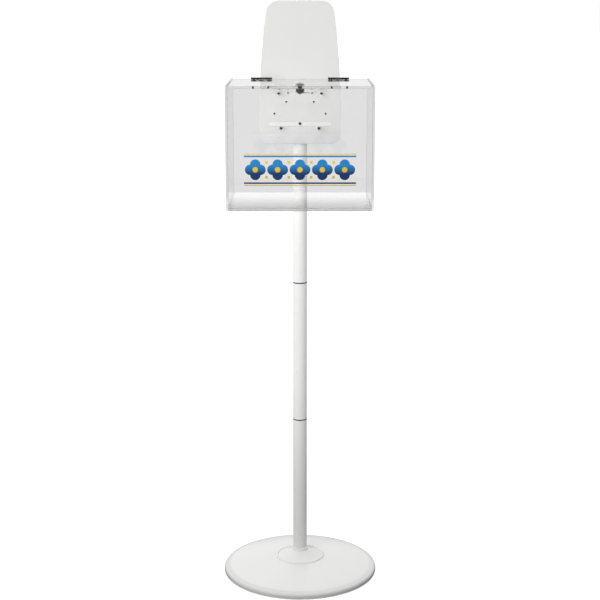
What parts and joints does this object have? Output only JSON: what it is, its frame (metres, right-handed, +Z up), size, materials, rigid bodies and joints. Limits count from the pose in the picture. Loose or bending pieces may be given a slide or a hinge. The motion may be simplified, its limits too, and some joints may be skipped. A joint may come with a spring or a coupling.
{
  "type": "donation box on a floor stand",
  "caption": "Clear acrylic donation box with a front money slot, hinged lid with a cam lock, held by a tall white plate on a round-based pole stand.",
  "frame": {"origin": "on the floor, under the axis of the pole", "axes": "+Z up along the pole, the front of the box with its slot faces -Y, +X to the right of someone who faces the box"},
  "size_m": [0.355, 0.4575, 1.312],
  "materials": {
    "clear_acrylic": "clear polished acrylic sheet",
    "clear_nylon": "clear nylon",
    "white_paint": "satin white powder coat on steel",
    "white_plastic": "white moulded plastic",
    "black_plastic": "black moulded plastic",
    "rubber_pad": "matt black rubber",
    "cast_iron": "rough cast iron",
    "zinc_steel": "zinc plated steel",
    "black_steel": "black oxide steel",
    "dark_pin_steel": "dark polished steel",
    "chrome": "bright chrome plate",
    "cam_steel": "plain steel"
  },
  "bodies": {
    "stand": {"box_front": "clear_acrylic", "box_back": "clear_acrylic", "box_left": "clear_acrylic", "box_right": "clear_acrylic", "box_bottom": "clear_acrylic", "box_top": "clear_acrylic", "lock_catch": "clear_acrylic", "left_hinge_back_leaf": "clear_acrylic", "right_hinge_back_leaf": "clear_acrylic", "mount_spacers": "clear_nylon", "mount_washers": "clear_nylon", "base_cover": "white_paint", "base_collar": "white_paint", "foot_ring": "white_paint", "lower_pole": "white_paint", "middle_pole": "white_paint", "upper_pole": "white_paint", "back_plate": "white_paint", "pole_cap": "white_plastic", "plate_saddles": "white_plastic", "lower_joint_ring": "black_plastic", "upper_joint_ring": "black_plastic", "base_pad": "rubber_pad", "base_weight": "cast_iron", "base_bolt": "zinc_steel", "base_washer": "zinc_steel", "pole_inserts": "zinc_steel", "pole_studs": "zinc_steel", "plate_inserts": "zinc_steel", "plate_nuts": "zinc_steel", "mount_nuts": "zinc_steel", "plate_screws": "black_steel", "mount_screws": "black_steel", "left_hinge_pin": "dark_pin_steel", "right_hinge_pin": "dark_pin_steel"},
    "lid_assembly": {"lid": "clear_acrylic", "left_hinge_lid_leaf": "clear_acrylic", "right_hinge_lid_leaf": "clear_acrylic", "hinge_screws": "black_steel", "hinge_nuts": "zinc_steel", "lock_body": "chrome", "lock_nut": "black_steel"},
    "lock_cylinder": {"lock_plug": "chrome", "lock_cam": "cam_steel", "cam_screw": "black_steel"}
  },
  "joints": [
    {"name": "lid_hinge", "type": "hinge", "parent": "stand", "child": "lid_assembly", "pos_m": [0, -0.0603, 1.1492], "axis": [-1, 0, 0], "range_deg": [0, 103]},
    {"name": "lock_turn", "type": "hinge", "parent": "lid_assembly", "child": "lock_cylinder", "pos_m": [0, -0.253, 1.14], "axis": [0, 0, -1], "range_deg": [0, 90]}
  ]
}
